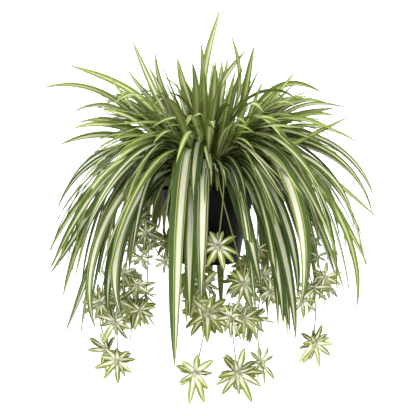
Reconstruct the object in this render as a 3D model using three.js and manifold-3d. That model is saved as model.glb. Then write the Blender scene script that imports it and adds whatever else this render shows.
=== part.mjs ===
// A spider plant in a black nursery pot, with its runners and their plantlets hanging below the pot.
// Millimetres, +Z up, -Y the front. The origin is on the pot's axis, in the plane of the underside of its
// collar, where a hanging ring carries the pot.
import * as THREE from "three";
import { mergeVertices } from "three/addons/utils/BufferGeometryUtils.js";
import Module from "manifold-3d";

const wasm = await Module();
wasm.setup();

// Pot
const RIM_RADIUS = 70;
const RIM_TOP = 31;
const LIP = 1.2;
const COLLAR_FOOT_RADIUS = 66.5;
const BODY_TOP_RADIUS = 62;
const BASE_RADIUS = 48.5;
const BASE_BOTTOM = -81;
const WALL = 1.6;
const POT_SIDES = 30;
const DRAIN_HOLES = 6;
const DRAIN_RADIUS = 4;
const DRAIN_RING = 34;
const DRAIN_SIDES = 8;

// Soil
const SOIL_TOP = 19;
const FIT_GAP = 0.3;
const HOLE_DEPTH = 24;

// Crowns: one in the middle, and one in each of eight equal wedges round it
const WEDGES = 8;
const FIRST_BEARING = 262.5;
const STEM_RING = 22;
const STEM_RADIUS = 3.6;
const HEAD_RING = 30;
const HEAD_HEIGHT = 72;
const HEAD_PROFILE = [
  [56, 7],
  [64, 10.2],
  [86, 10.2],
  [97, 4],
];
const ROOT_OUT = 3;
const ROOT_ASIDE = 0.42;
const ROOT_RAISE = 0.36;
const LEVEL_RISE = 50;

// Leaves
const HANDLE = 0.42;
const KEEL_SHARE = 0.1;
const KEEL_LEAST = 0.8;
const ROOT_WIDTH_SHARE = 0.26;
const ARCH_STATIONS = [0, 0.18, 0.38, 0.58, 0.8, 1];
const STRAIGHT_STATIONS = [0, 0.25, 0.6, 1];
const STRAIGHT_BEND = 45;
const ROLL_BY = 0.35;
const SEAM = 0.05;

// Runners and plantlets
const RUNNER_RADIUS = 1.1;
const RUNNER_RINGS = [13, 20];
const RUNNER_HOLE_RADIUS = 2.7;
const STEPS_PER_SPAN = 2;
const BUD_RADIUS = 3.4;
const BUD_DEPTH = 1.8;
const PLANTLET_BROAD = 0.46;
const PLANTLET_WIDTH_SHARE = 0.31;
const PLANTLET_KEEL = 1.3;
const SAG = 0.1;

const UP = new THREE.Vector3(0, 0, 1);

// Draws numbers between two limits, one after another: the same seed always gives the same plant.
function draws(seed) {
  let state = seed;
  return (low, high) => {
    state = (state * 16807) % 2147483647;
    return low + ((high - low) * state) / 2147483647;
  };
}

function radians(degrees) {
  return (degrees * Math.PI) / 180;
}

function polar(radius, bearing, height) {
  const turn = radians(bearing);
  return new THREE.Vector3(radius * Math.cos(turn), radius * Math.sin(turn), height);
}

// A direction in the plane of out and up, at that many degrees above out.
function slant(out, up, degrees) {
  const turn = radians(degrees);
  return out.clone().multiplyScalar(Math.cos(turn)).addScaledVector(up, Math.sin(turn));
}

// Solids

function solidOf(geometry) {
  geometry.deleteAttribute("normal");
  geometry.deleteAttribute("uv");
  const merged = mergeVertices(geometry, 1e-4);
  return new wasm.Manifold(
    new wasm.Mesh({
      numProp: 3,
      vertProperties: new Float32Array(merged.attributes.position.array),
      triVerts: new Uint32Array(merged.index.array),
    }),
  );
}

function geometryOf(solid) {
  const mesh = solid.getMesh();
  const geometry = new THREE.BufferGeometry();
  geometry.setAttribute("position", new THREE.BufferAttribute(new Float32Array(mesh.vertProperties), 3));
  geometry.setIndex(new THREE.BufferAttribute(new Uint32Array(mesh.triVerts), 1));
  geometry.computeVertexNormals();
  return geometry;
}

// Joins solids that grow from one another. What they enclose is filled: only the largest outer skin is kept.
function fused(solids) {
  const skins = wasm.Manifold.union(solids).asOriginal().simplify(SEAM).decompose();
  return skins.reduce((best, skin) => (skin.volume() > best.volume() ? skin : best));
}

// Two triangles for the corners of a quad, in order, split along the diagonal that stands outwards. The
// two sides of a thin twisted blade then never cross.
function splitQuad(points, a, b, c, d) {
  const [toB, toC, toD] = [b, c, d].map((corner) => points[corner].clone().sub(points[a]));
  const standsOut = toB.cross(toC).dot(toD) <= 0;
  return standsOut ? [a, b, c, a, c, d] : [a, b, d, b, c, d];
}

// Lofts a closed skin through rings of equally many points, each ring counter-clockwise seen from its far
// end. A last ring of one point closes the skin as a tip.
function loft(rings) {
  const sides = rings[0].length;
  const points = rings.flat();
  const faces = [];
  const last = rings.length - 1;
  const pointed = rings[last].length === 1;
  for (let i = 2; i < sides; i++) faces.push(0, i, i - 1);
  for (let ring = 0; ring < last; ring++) {
    const near = ring * sides;
    for (let side = 0; side < sides; side++) {
      const a = near + side;
      const b = near + ((side + 1) % sides);
      if (ring === last - 1 && pointed) {
        faces.push(a, b, near + sides);
      } else {
        faces.push(...splitQuad(points, a, b, b + sides, a + sides));
      }
    }
  }
  if (!pointed) {
    const end = last * sides;
    for (let i = 2; i < sides; i++) faces.push(end, end + i - 1, end + i);
  }
  const geometry = new THREE.BufferGeometry().setFromPoints(points);
  geometry.setIndex(faces);
  return solidOf(geometry);
}

// Leaves

// Share of the full width at a share u of the length: narrow at the root, widest before the middle and
// drawn out to a pointed tip.
function leafWidth(u) {
  const swell = Math.min(1, u / 0.45);
  return (ROOT_WIDTH_SHARE + (1 - ROOT_WIDTH_SHARE) * swell * (2 - swell)) * (1 - u ** 5);
}

// A folded blade along a curve. Its section has two edges and, below them, a keel. It rolls by roll
// degrees near its root, and by turn more on the way to its tip.
function blade(curve, out, width, stations, roll, turn) {
  const across = new THREE.Vector3().crossVectors(UP, out);
  const rings = stations.map((u) => {
    const centre = curve.getPoint(u);
    const along = curve.getTangent(u);
    if (u === 1) return [centre];
    const level = across.clone().addScaledVector(along, -across.dot(along)).normalize();
    const side = level.applyAxisAngle(along, radians(roll * Math.min(1, u / ROLL_BY) + turn * u));
    const down = new THREE.Vector3().crossVectors(side, along);
    const half = (width * leafWidth(u)) / 2;
    const keel = KEEL_LEAST + KEEL_SHARE * 2 * half;
    return [
      centre.clone().addScaledVector(side, -half),
      centre.clone().addScaledVector(down, keel),
      centre.clone().addScaledVector(side, half),
    ];
  });
  return loft(rings);
}

// A leaf leaves its crown at rise degrees above the horizontal and ends at fall degrees. spring is how
// strongly it rises before it bends over.
function leafCurve(root, tip, rise, fall, spring) {
  const out = tip.clone().sub(root).setZ(0).normalize();
  const handle = HANDLE * root.distanceTo(tip);
  const first = root.clone().addScaledVector(slant(out, UP, rise), handle * spring);
  const second = tip.clone().addScaledVector(slant(out, UP, fall), -handle);
  return { curve: new THREE.CubicBezierCurve3(root, first, second, tip), out };
}

// Roots are spread over the head: outwards to the leaf's own side, and higher for the steeper leaves.
function leafSolid(head, bearing, roll, leaf) {
  const [side, reach, tipHeight, rise, fall, width, turn, spring] = leaf;
  const tip = polar(reach, bearing + side, tipHeight);
  const out = tip.clone().sub(head).setZ(0).normalize();
  const root = head.clone().addScaledVector(out, ROOT_OUT).add(polar(ROOT_ASIDE * side, bearing + 90, 0));
  root.z += ROOT_RAISE * (rise - LEVEL_RISE);
  const path = leafCurve(root, tip, rise, fall, spring);
  const stations = Math.abs(rise - fall) < STRAIGHT_BEND ? STRAIGHT_STATIONS : ARCH_STATIONS;
  return blade(path.curve, path.out, width, stations, roll, turn);
}

// Leaves seen in the photograph, by crown. Each row holds: side, degrees from the crown's bearing; reach,
// the tip's distance from the pot's axis; the tip's height; rise and fall, degrees; width; turn, degrees;
// spring.
const CROWN_LEAVES = {
  middle: [
    [30, 24, 300, 104, 70, 20, 10, 1],
    [150, 10, 250, 92, 86, 15, -20, 1],
    [168, 45, 226, 80, 78, 12, -50, 1],
    [150, 52, 226, 76, 80, 16, -40, 1],
    [40, 30, 226, 80, 84, 14, 0, 1],
    [60, 26, 220, 78, 82, 15, 10, 1],
    [-4, 34, 262, 58, 112, 10, 70, 1],
    [100, 46, 232, 80, 76, 13, 0, 1],
    [75, 62, 208, 70, 60, 14, 20, 1],
    [-140, 40, 190, 72, 62, 12, 20, 1],
    [-100, 42, 176, 66, 50, 10, 0, 1],
    [-60, 48, 190, 66, 40, 10, -20, 1],
    [10, 62, 238, 84, 46, 13, 50, 1.3],
  ],
  front: [
    [-15, 122, -222, 52, -92, 26, 4, 1],
    [-8, 112, -164, 62, -88, 12, -8, 1],
    [-5, 114, -148, 58, -90, 25, 6, 1],
    [-1, 128, 22, 78, -86, 19, -4, 1.4],
    [3, 112, -124, 40, -98, 24, 8, 1],
    [11, 100, 40, 60, -66, 9, 10, 1],
  ],
  frontRight: [
    [-5, 144, -104, 14, -66, 22, 10, 0.5],
    [-6, 134, -142, 30, -80, 14, 4, 0.7],
    [4, 164, -158, 22, -92, 24, 10, 0.6],
    [8, 178, -180, 30, -88, 20, 10, 0.7],
    [7, 170, -172, 38, -84, 18, 4, 0.7],
    [8, 186, -130, 42, -112, 24, 4, 1.5],
    [9, 178, -120, 38, -96, 19, 6, 0.8],
    [16, 226, -114, 62, -102, 13, -14, 1.5],
    [17, 226, -54, 70, -66, 15, -14, 1.8],
    [17, 186, 52, 40, -30, 12, 0, 1],
    [8, 86, 88, 32, 2, 10, 0, 1],
    [-6, 106, 18, 50, -84, 11, 10, 1],
  ],
  right: [
    [7, 134, 206, 50, 48, 12, 10, 1],
    [14, 134, 188, 46, 42, 11, -10, 1],
    [10, 152, 166, 44, -4, 11, 20, 1],
    [5, 192, 150, 44, 6, 14, 20, 1.05],
    [-10, 218, 140, 18, 26, 10, 30, 1],
    [0, 196, 138, 34, -16, 11, 20, 1],
    [-7, 232, 98, 44, -34, 10, 0, 1],
    [16, 178, 170, 66, -34, 13, 10, 1.5],
    [-15, 146, 148, 56, -46, 10, -10, 1],
    [-3, 250, 18, 50, -74, 13, 0, 1.15],
    [3, 248, -20, 46, -88, 10, -10, 1],
    [12, 262, -20, 26, -42, 11, 10, 1],
    [-12, 226, -26, 44, -90, 11, -10, 1],
    [-9, 248, -84, 42, -64, 15, -10, 1],
    [-16, 234, -146, 40, -104, 14, -10, 1],
    [15, 72, 246, 70, 76, 15, 0, 1],
  ],
  left: [
    [8, 226, -6, 40, -72, 10, -20, 1],
    [4, 226, 92, 30, -26, 13, -20, 1],
    [-2, 202, 126, 32, -16, 11, -20, 1],
    [10, 204, 118, 34, -20, 13, -20, 1],
    [17, 164, 148, 40, 2, 12, -10, 1],
    [12, 208, 214, 62, 16, 14, -20, 1.1],
    [6, 252, 178, 42, -16, 11, -20, 1],
    [-17, 176, 132, 70, -84, 9, -10, 1.5],
    [0, 114, 254, 66, 68, 14, 0, 1],
    [15, 146, 200, 54, 60, 11, 0, 1],
    [-8, 92, 212, 68, 58, 12, 0, 1],
    [-15, 84, 236, 80, 90, 10, 0, 1],
    [-12, 230, 26, 33, -60, 10, -10, 1],
    [16, 238, -66, 30, -66, 13, -10, 0.9],
  ],
  frontLeft: [
    [2, 158, -122, 50, -108, 14, 8, 1.3],
    [4, 150, -78, 48, -92, 12, 6, 1],
    [0, 178, -146, 10, -100, 24, -12, 0.7],
    [6, 166, -150, 18, -118, 22, -16, 0.9],
    [-4, 190, -170, 24, -116, 20, -8, 0.9],
    [-12, 228, -172, 34, -63, 22, -6, 1],
    [-16, 226, -126, 34, -78, 17, -20, 1],
    [-17, 246, -92, 36, -52, 18, -20, 1],
    [-11, 250, -78, 40, -66, 15, -20, 1],
    [15, 84, 48, 72, -80, 11, 0, 1.3],
    [16, 130, 100, 64, -46, 11, 10, 1.4],
    [-6, 214, -50, 44, -70, 13, -10, 1],
  ],
  backRight: [],
  back: [],
  backLeft: [],
};

// The wedges in order, counter-clockwise from the front, and how many leaves of each kind the rule adds
// to each.
const CROWNS = [
  { name: "front", roll: 0, arches: 0, spreads: 3, uprights: 2, seed: 205 },
  { name: "frontRight", roll: 18, arches: 0, spreads: 5, uprights: 3, seed: 1757 },
  { name: "right", roll: 42, arches: 2, spreads: 5, uprights: 2, seed: 116 },
  { name: "backRight", roll: -18, arches: 6, spreads: 5, uprights: 4, seed: 2048 },
  { name: "back", roll: 0, arches: 6, spreads: 5, uprights: 4, seed: 1951 },
  { name: "backLeft", roll: 18, arches: 6, spreads: 5, uprights: 4, seed: 1953 },
  { name: "left", roll: -42, arches: 2, spreads: 5, uprights: 2, seed: 1369 },
  { name: "frontLeft", roll: -18, arches: 1, spreads: 5, uprights: 3, seed: 1951 },
];

// The three kinds of leaf that the rule draws: long arches that hang, spreading ones and short upright ones.
function arch(side, draw) {
  return [
    side,
    draw(125, 235),
    draw(-190, -10),
    draw(40, 60),
    draw(-92, -74),
    draw(12, 18),
    draw(-25, 25),
    draw(0.9, 1.3),
  ];
}

function spread(side, draw) {
  return [
    side,
    draw(130, 215),
    draw(70, 165),
    draw(36, 54),
    draw(-40, 0),
    draw(9, 13),
    draw(-15, 15),
    draw(1, 1.5),
  ];
}

function upright(side, draw) {
  return [side, draw(80, 135), draw(160, 230), draw(58, 74), draw(48, 66), draw(10, 14), draw(-15, 15), 1];
}

const WIDEST_SIDE = 15;

function ruledLeaves(crown) {
  const draw = draws(crown.seed);
  const kinds = [
    [crown.arches, arch],
    [crown.spreads, spread],
    [crown.uprights, upright],
  ];
  return kinds.flatMap(([count, kind]) =>
    Array.from({ length: count }, (_, i) => {
      const step = (2 * WIDEST_SIDE) / count;
      return kind(-WIDEST_SIDE + step * (i + draw(0.2, 0.8)), draw);
    }),
  );
}

// A crown's stem, from the bottom of its hole in the soil to the head where its leaves come out.
function stemSolid(foot, head) {
  const sides = 7;
  const straightTo = SOIL_TOP + 6;
  const profile = [[SOIL_TOP - HOLE_DEPTH + 1, STEM_RADIUS], [straightTo, STEM_RADIUS], ...HEAD_PROFILE];
  const rings = profile.map(([height, radius]) => {
    const share = Math.max(0, (height - straightTo) / (HEAD_PROFILE[1][0] - straightTo));
    const centre = foot.clone().lerp(head, Math.min(1, share)).setZ(height);
    return Array.from({ length: sides }, (_, k) => centre.clone().add(polar(radius, (360 * k) / sides, 0)));
  });
  return loft(rings);
}

function crownSolid(foot, head, bearing, roll, leaves) {
  return fused([stemSolid(foot, head), ...leaves.map((leaf) => leafSolid(head, bearing, roll, leaf))]);
}

// The middle crown's leaves go all round, so each has its own bearing in place of a side.
function middleSolid(foot, head, leaves) {
  const blades = leaves.map(([bearing, ...rest]) => leafSolid(head, bearing, 0, [0, ...rest]));
  return fused([stemSolid(foot, head), ...blades]);
}

// Runners and plantlets

// Each runner leaves the soil on the bearing between two wedges, arches over the rim and then hangs
// through its plantlets. border counts the gaps between wedges from the one right of the front, ring
// picks its hole, crest is the height it arches to, and shoulder the distance from the axis at which it
// turns down.
// A plantlet's row holds: x, y and z of its centre; bearing and tilt of the way it faces; leaf length;
// leaf count.
const RUNNERS = [
  { border: 0, ring: 0, crest: 74, shoulder: 92, plantlets: [[16, -84, -48, 275, -5, 34, 9]] },
  {
    border: 0,
    ring: 1,
    crest: 60,
    shoulder: 82,
    plantlets: [
      [53, -84, -102, 275, -6, 34, 10],
      [36, -122, -145, 225, -20, 32, 9],
      [44, -98, -231, 272, -12, 41, 11],
    ],
  },
  {
    border: 7,
    ring: 1,
    crest: 62,
    shoulder: 80,
    plantlets: [
      [-4, -60, -107, 268, -10, 29, 8],
      [1, -78, -146, 270, -4, 41, 11],
      [-17, -84, -234, 264, -10, 37, 10],
    ],
  },
  {
    border: 1,
    ring: 1,
    crest: 60,
    shoulder: 84,
    plantlets: [
      [75, -40, -58, 300, 0, 20, 7],
      [82, -62, -94, 284, 0, 28, 9],
      [74, -70, -154, 280, -60, 28, 7],
      [77, -74, -221, 320, -8, 34, 9],
    ],
  },
  {
    border: 1,
    ring: 0,
    crest: 74,
    shoulder: 120,
    plantlets: [
      [155, -62, -111, 280, -40, 32, 10],
      [157, -66, -193, 285, -10, 33, 9],
    ],
  },
  {
    border: 2,
    ring: 0,
    crest: 74,
    shoulder: 130,
    plantlets: [
      [164, 30, -24, 300, 10, 18, 7],
      [168, 28, -78, 280, 30, 18, 6],
      [179, 24, -118, 280, 0, 26, 9],
    ],
  },
  {
    border: 6,
    ring: 1,
    crest: 62,
    shoulder: 84,
    plantlets: [
      [-97, -34, -12, 230, -6, 34, 10],
      [-106, -30, -50, 240, -20, 24, 8],
    ],
  },
  {
    border: 7,
    ring: 0,
    crest: 76,
    shoulder: 100,
    plantlets: [
      [-76, -62, -42, 250, -60, 22, 8],
      [-61, -58, -74, 240, -30, 20, 7],
    ],
  },
  {
    border: 6,
    ring: 0,
    crest: 78,
    shoulder: 120,
    plantlets: [
      [-132, -50, -130, 250, -20, 34, 9],
      [-132, -56, -221, 266, -10, 32, 10],
    ],
  },
  {
    border: 5,
    ring: 1,
    crest: 64,
    shoulder: 96,
    plantlets: [
      [-92, 0, -130, 250, -50, 22, 7],
      [-107, -10, -151, 268, -6, 34, 11],
    ],
  },
  {
    border: 5,
    ring: 0,
    crest: 80,
    shoulder: 130,
    plantlets: [
      [-162, 20, -141, 250, 0, 28, 8],
      [-150, 10, -218, 220, -16, 38, 9],
    ],
  },
  { border: 2, ring: 1, crest: 62, shoulder: 90, plantlets: [[96, 50, -120, 20, -10, 32, 9]] },
  {
    border: 3,
    ring: 0,
    crest: 76,
    shoulder: 110,
    plantlets: [
      [62, 98, -98, 60, -10, 30, 9],
      [66, 104, -190, 50, -10, 34, 9],
    ],
  },
  {
    border: 4,
    ring: 0,
    crest: 76,
    shoulder: 100,
    plantlets: [
      [-16, 104, -112, 100, -10, 34, 9],
      [-4, 96, -178, 95, -10, 32, 10],
    ],
  },
  {
    border: 4,
    ring: 1,
    crest: 62,
    shoulder: 86,
    plantlets: [[-60, 80, -60, 130, -10, 30, 8]],
  },
];

function runnerCurve(runner) {
  const bearing = FIRST_BEARING + (360 / WEDGES) * (runner.border + 0.5);
  const ring = RUNNER_RINGS[runner.ring];
  const points = [
    polar(ring, bearing, SOIL_TOP - HOLE_DEPTH + 1),
    polar(ring, bearing, SOIL_TOP),
    polar(ring + 12, bearing, runner.crest - 8),
    polar((ring + runner.shoulder) / 2 + 6, bearing, runner.crest),
    polar(runner.shoulder, bearing, runner.crest - 34),
    ...runner.plantlets.map(([x, y, z]) => new THREE.Vector3(x, y, z)),
  ];
  return new THREE.CatmullRomCurve3(points, false, "catmullrom", 0.5);
}

function runnerStem(curve) {
  const corners = [90, 210, 330].map((turn) => polar(RUNNER_RADIUS, turn, 0));
  const section = new THREE.Shape(corners.map((corner) => new THREE.Vector2(corner.x, corner.y)));
  const steps = STEPS_PER_SPAN * (curve.points.length - 1);
  return solidOf(new THREE.ExtrudeGeometry(section, { steps, extrudePath: curve }));
}

// A plantlet is a flat bud drawn out into leaves all round it like a star, cupped towards the way it
// faces. Each leaf has two notches at its root, shared with its neighbours, a broad place with a keel
// below it, and a tip.
function plantletSolid(row, draw) {
  const [x, y, z, bearing, tilt, length, count] = row;
  const centre = new THREE.Vector3(x, y, z);
  const face = slant(polar(1, bearing, 0), UP, tilt);
  const level = new THREE.Vector3().crossVectors(UP, face).normalize();
  const upright = new THREE.Vector3().crossVectors(face, level);
  const step = 360 / count;
  const first = draw(0, step);
  const points = [BUD_DEPTH, -BUD_DEPTH].map((depth) => centre.clone().addScaledVector(face, depth));
  const faces = [];
  for (let i = 0; i < count; i++) {
    const turn = first + step * (i + draw(-0.07, 0.07));
    const out = slant(level, upright, turn);
    const across = new THREE.Vector3().crossVectors(face, out);
    const cup = draw(-4, 26);
    const long = length * draw(0.82, 1.08);
    const half = (PLANTLET_WIDTH_SHARE * long) / 2;
    const broad = centre.clone().addScaledVector(slant(out, face, cup + 12), PLANTLET_BROAD * long);
    const tip = centre.clone().addScaledVector(slant(out, face, cup), long).addScaledVector(UP, -SAG * long);
    const notch = centre.clone().addScaledVector(slant(level, upright, first + step * (i - 0.5)), BUD_RADIUS);
    const edges = [-half, half].map((away) => broad.clone().addScaledVector(across, away));
    points.push(notch, tip, ...edges);
    points.push(broad.clone().addScaledVector(face, -PLANTLET_KEEL));
    const near = 2 + 5 * i;
    const next = 2 + 5 * ((i + 1) % count);
    const [tipAt, right, left, keel] = [near + 1, near + 2, near + 3, near + 4];
    faces.push(0, near, right, 0, right, left, 0, left, next, right, tipAt, left);
    faces.push(1, keel, near, 1, next, keel, near, keel, right, next, left, keel);
    faces.push(right, keel, tipAt, left, tipAt, keel);
  }
  const geometry = new THREE.BufferGeometry().setFromPoints(points);
  geometry.setIndex(faces);
  return solidOf(geometry);
}

function runnerSolid(runner, seed) {
  const draw = draws(seed);
  return fused([runnerStem(runnerCurve(runner)), ...runner.plantlets.map((row) => plantletSolid(row, draw))]);
}

// Pot and soil

function lathe(profile) {
  const points = profile.map(([radius, height]) => new THREE.Vector2(radius, height));
  return solidOf(new THREE.LatheGeometry(points, POT_SIDES).rotateX(Math.PI / 2));
}

function rod(radius, centre, low, high, sides) {
  const geometry = new THREE.CylinderGeometry(radius, radius, high - low, sides);
  return solidOf(geometry.rotateX(Math.PI / 2).translate(centre.x, centre.y, (low + high) / 2));
}

function potSolid() {
  const shell = lathe([
    [0, BASE_BOTTOM],
    [BASE_RADIUS - 2, BASE_BOTTOM],
    [BASE_RADIUS, BASE_BOTTOM + 2],
    [BODY_TOP_RADIUS, 0],
    [COLLAR_FOOT_RADIUS, 0],
    [RIM_RADIUS - LIP, RIM_TOP - 3],
    [RIM_RADIUS, RIM_TOP - 2.4],
    [RIM_RADIUS, RIM_TOP],
    [RIM_RADIUS - LIP - WALL, RIM_TOP],
    [COLLAR_FOOT_RADIUS - WALL, WALL],
    [BODY_TOP_RADIUS - WALL, WALL],
    [BASE_RADIUS - WALL, BASE_BOTTOM + WALL],
    [0, BASE_BOTTOM + WALL],
  ]);
  const drains = Array.from({ length: DRAIN_HOLES }, (_, i) => {
    const place = polar(DRAIN_RING, (360 / DRAIN_HOLES) * (i + 0.5), 0);
    return rod(DRAIN_RADIUS, place, BASE_BOTTOM - 1, BASE_BOTTOM + 3, DRAIN_SIDES);
  });
  return wasm.Manifold.difference([shell, ...drains]);
}

function soilSolid(stemFeet, runnerFeet) {
  const inset = WALL + FIT_GAP;
  const bottom = BASE_BOTTOM + inset;
  const collarShare = SOIL_TOP / (RIM_TOP - 3);
  const collarTopRadius = RIM_RADIUS - LIP;
  const topRadius = COLLAR_FOOT_RADIUS + (collarTopRadius - COLLAR_FOOT_RADIUS) * collarShare - inset - 0.3;
  const plug = lathe([
    [0, bottom],
    [BASE_RADIUS - inset, bottom],
    [BODY_TOP_RADIUS - inset, inset],
    [COLLAR_FOOT_RADIUS - inset, inset],
    [topRadius, SOIL_TOP],
    [0, SOIL_TOP],
  ]);
  const holes = [
    ...stemFeet.map((foot) => rod(STEM_RADIUS + FIT_GAP, foot, SOIL_TOP - HOLE_DEPTH, SOIL_TOP + 1, 8)),
    ...runnerFeet.map((foot) => rod(RUNNER_HOLE_RADIUS, foot, SOIL_TOP - HOLE_DEPTH, SOIL_TOP + 1, 6)),
  ];
  return wasm.Manifold.difference([plug, ...holes]);
}

// Assembly

const MATERIALS = {
  pot: new THREE.MeshStandardMaterial({ color: 0x1c1c1e, roughness: 0.55, metalness: 0 }),
  soil: new THREE.MeshStandardMaterial({ color: 0x2a2018, roughness: 0.95, metalness: 0 }),
  leaf: new THREE.MeshStandardMaterial({ color: 0x5f7f4c, roughness: 0.5, metalness: 0 }),
  plantlet: new THREE.MeshStandardMaterial({ color: 0xa9b27a, roughness: 0.5, metalness: 0 }),
};

const plant = new THREE.Group();

function add(name, solid, material) {
  const mesh = new THREE.Mesh(geometryOf(solid), MATERIALS[material]);
  mesh.name = name;
  plant.add(mesh);
}

function nodeName(name) {
  return name.replace(/[A-Z]/g, (letter) => "_" + letter.toLowerCase());
}

const crownPlaces = CROWNS.map((crown, i) => {
  const bearing = FIRST_BEARING + (360 / WEDGES) * i;
  return { crown, bearing, foot: polar(STEM_RING, bearing, 0), head: polar(HEAD_RING, bearing, HEAD_HEIGHT) };
});
const middleFoot = new THREE.Vector3(0, 0, 0);
const middleHead = new THREE.Vector3(0, 0, HEAD_HEIGHT);

add("pot", potSolid(), "pot");
add(
  "soil",
  soilSolid(
    [middleFoot, ...crownPlaces.map((place) => place.foot)],
    RUNNERS.map((runner) => runnerCurve(runner).points[0]),
  ),
  "soil",
);
add("crown_middle", middleSolid(middleFoot, middleHead, CROWN_LEAVES.middle), "leaf");
for (const { crown, bearing, foot, head } of crownPlaces) {
  const leaves = [...CROWN_LEAVES[crown.name], ...ruledLeaves(crown)];
  add("crown_" + nodeName(crown.name), crownSolid(foot, head, bearing, crown.roll, leaves), "leaf");
}
RUNNERS.forEach((runner, i) => {
  add("runner_" + String(i + 1).padStart(2, "0"), runnerSolid(runner, 101 + i), "plantlet");
});

export default plant;
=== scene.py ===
"""Looks of a spider plant in a black nursery pot, its runners and plantlets hanging below the pot.

Sizes are in millimetres until a mesh is made, and then in metres. +Z is up and -Y is the front.
"""
import math

import bpy
import numpy as np
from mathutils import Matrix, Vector, noise


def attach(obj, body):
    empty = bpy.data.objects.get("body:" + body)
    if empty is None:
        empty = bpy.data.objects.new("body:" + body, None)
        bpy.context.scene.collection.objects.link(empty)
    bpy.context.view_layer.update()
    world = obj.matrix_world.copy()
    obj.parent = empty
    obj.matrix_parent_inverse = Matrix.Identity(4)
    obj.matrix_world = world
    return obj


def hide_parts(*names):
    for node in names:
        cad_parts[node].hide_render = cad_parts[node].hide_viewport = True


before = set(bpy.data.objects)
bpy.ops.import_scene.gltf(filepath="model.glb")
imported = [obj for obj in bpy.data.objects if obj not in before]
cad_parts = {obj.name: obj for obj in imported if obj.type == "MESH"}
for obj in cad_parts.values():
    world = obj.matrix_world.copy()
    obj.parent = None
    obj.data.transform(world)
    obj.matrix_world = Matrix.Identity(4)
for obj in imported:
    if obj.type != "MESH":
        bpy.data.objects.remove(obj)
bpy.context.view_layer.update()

MM = 0.001
UP = np.array([0.0, 0.0, 1.0])
NEVER_ZERO = 1e-9

# Pot
RIM_RADIUS = 70
RIM_TOP = 31
LIP = 1.2
LIP_HEIGHT = 3
LIP_EDGE = 2.4
COLLAR_FOOT_RADIUS = 66.5
BODY_TOP_RADIUS = 62
BASE_RADIUS = 48.5
BASE_BOTTOM = -81
BASE_CHAMFER = 2
WALL = 1.6
POT_SIDES = 96
POT_ROUNDING = 0.8
ROUNDING_POINTS = 5
ROUNDING_ROOM = 0.45
SHARP_FROM = 40
DRAIN_HOLES = 6
DRAIN_RADIUS = 4
DRAIN_RING = 34
DRAIN_SIDES = 24

# Soil. SOIL_BUMPS holds pairs of how fine and how high, and SOIL_FINENESS is per millimetre.
SOIL_TOP = 19
SOIL_EDGE_DROP = 1.5
SOIL_SIDES = 120
SOIL_RINGS = 44
SOIL_FINENESS = 0.11
SOIL_BUMPS = [(1, 1.5), (3.7, 0.9), (11, 0.4)]
SOIL_SINK = 0.4
CRUMBS = 260
CRUMB_SIDES = 7
CRUMB_RINGS = 4
CRUMB_FLATNESS = 0.7
CRUMB_TOP = 0.8
CRUMBS_WITHIN = 0.97
CRUMB_SEED = 77
FIT_GAP = 0.3
HOLE_DEPTH = 24

# Crowns
WEDGES = 8
FIRST_BEARING = 262.5
STEM_RING = 22
HEAD_RING = 30
HEAD_HEIGHT = 72
ROOT_OUT = 3
ROOT_ASIDE = 0.42
ROOT_RAISE = 0.36
LEVEL_RISE = 50
WIDEST_SIDE = 15

# The short stem inside a crown's sheaths
CORE_SIDES = 20
CORE_STATIONS = 12
CORE_BURIED = 4
CORE_BELOW_HEAD = 6
CORE_RADIUS = 3.3
CORE_SWELL = 1.6
CORE_TIP_DROP = 2.0
FLUTES = 5
FLUTE_DEPTH = 0.12
FLUTE_TWIST = 140

# Leaves. A grid is how many stations a leaf has along it, and columns across it.
HANDLE = 0.42
ROOT_WIDTH_SHARE = 0.26
WIDEST_AT = 0.45
ROLL_BY = 0.35
LEAF_GRID = (30, 9)
FILL_GRID = (22, 7)
LEAF_THICK = 0.5
TIP_THINNING = 0.6
FOLD = 0.12
FOLD_BY = 0.22
FOLD_POWER = 1.35
RIPPLES = 9
RIPPLE_BY = 0.3
FULL_TURN = 6.28

# A leaf's sheath, from the soil up to its root. Along it, leaf_u goes from minus SHEATH_U to 0.
SHEATH_STATIONS = 8
SHEATH_FOLD = 0.34
SHEATH_WIDTH = 6.5
SHEATH_OUT = 2.2
SHEATH_BURIED = 3
SHEATH_RISE = 26
SHEATH_LEAN = 13
SHEATH_U = 0.2

# Looks of leaves. A leaf whose tip is steeper than STEEP_FALL is an upright one, and one that falls more
# than LEVEL_FALL hangs. SECOND_LINE is where a second bright line lies, in half widths from the stripe, and
# RIBS is radians to the millimetre.
STEEP_FALL = 35
LEVEL_FALL = -50
BROAD_LEAF = 18
STRIPE_SHIFT = 0.34
SECOND_LINE = 0.62
RIBS = 5.2

# Runners and plantlets
RUNNER_RADIUS = 0.95
RUNNER_RINGS = [13, 20]
RUNNER_SIDES = 8
RUNNER_STEPS = 8
RUNNER_OUT = 12
BEFORE_CREST = 8
CREST_ASIDE = 6
SHOULDER_DROP = 34
BUD_RADIUS = 2.4
BUD_RINGS = 5
BUD_SIDES = 10
BUD_LOBES = 5
BUD_LOBE_DEPTH = 0.1
BUD_DEPTH = 1.5
BUD_TOP = 1.7
BUD_TILT = 0.3
PLANTLET_BROAD = 0.46
PLANTLET_ARCH = 12
PLANTLET_WIDTH_SHARE = 0.31
PLANTLET_ROOT_SHARE = 0.17
PLANTLET_WIDEST_AT = 0.66
PLANTLET_GRID = (12, 7)
PLANTLET_START = 0.04
PLANTLET_FOLD = 0.2
PLANTLET_THICK = 0.35
PLANTLET_THINNING = 0.5
SAG = 0.1
SIDE_STEM_RISE = 8
SIDE_STEM_RADIUS = 0.6
SIDE_STEM_SIDES = 6
SIDE_STEM_STATIONS = 9

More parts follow.
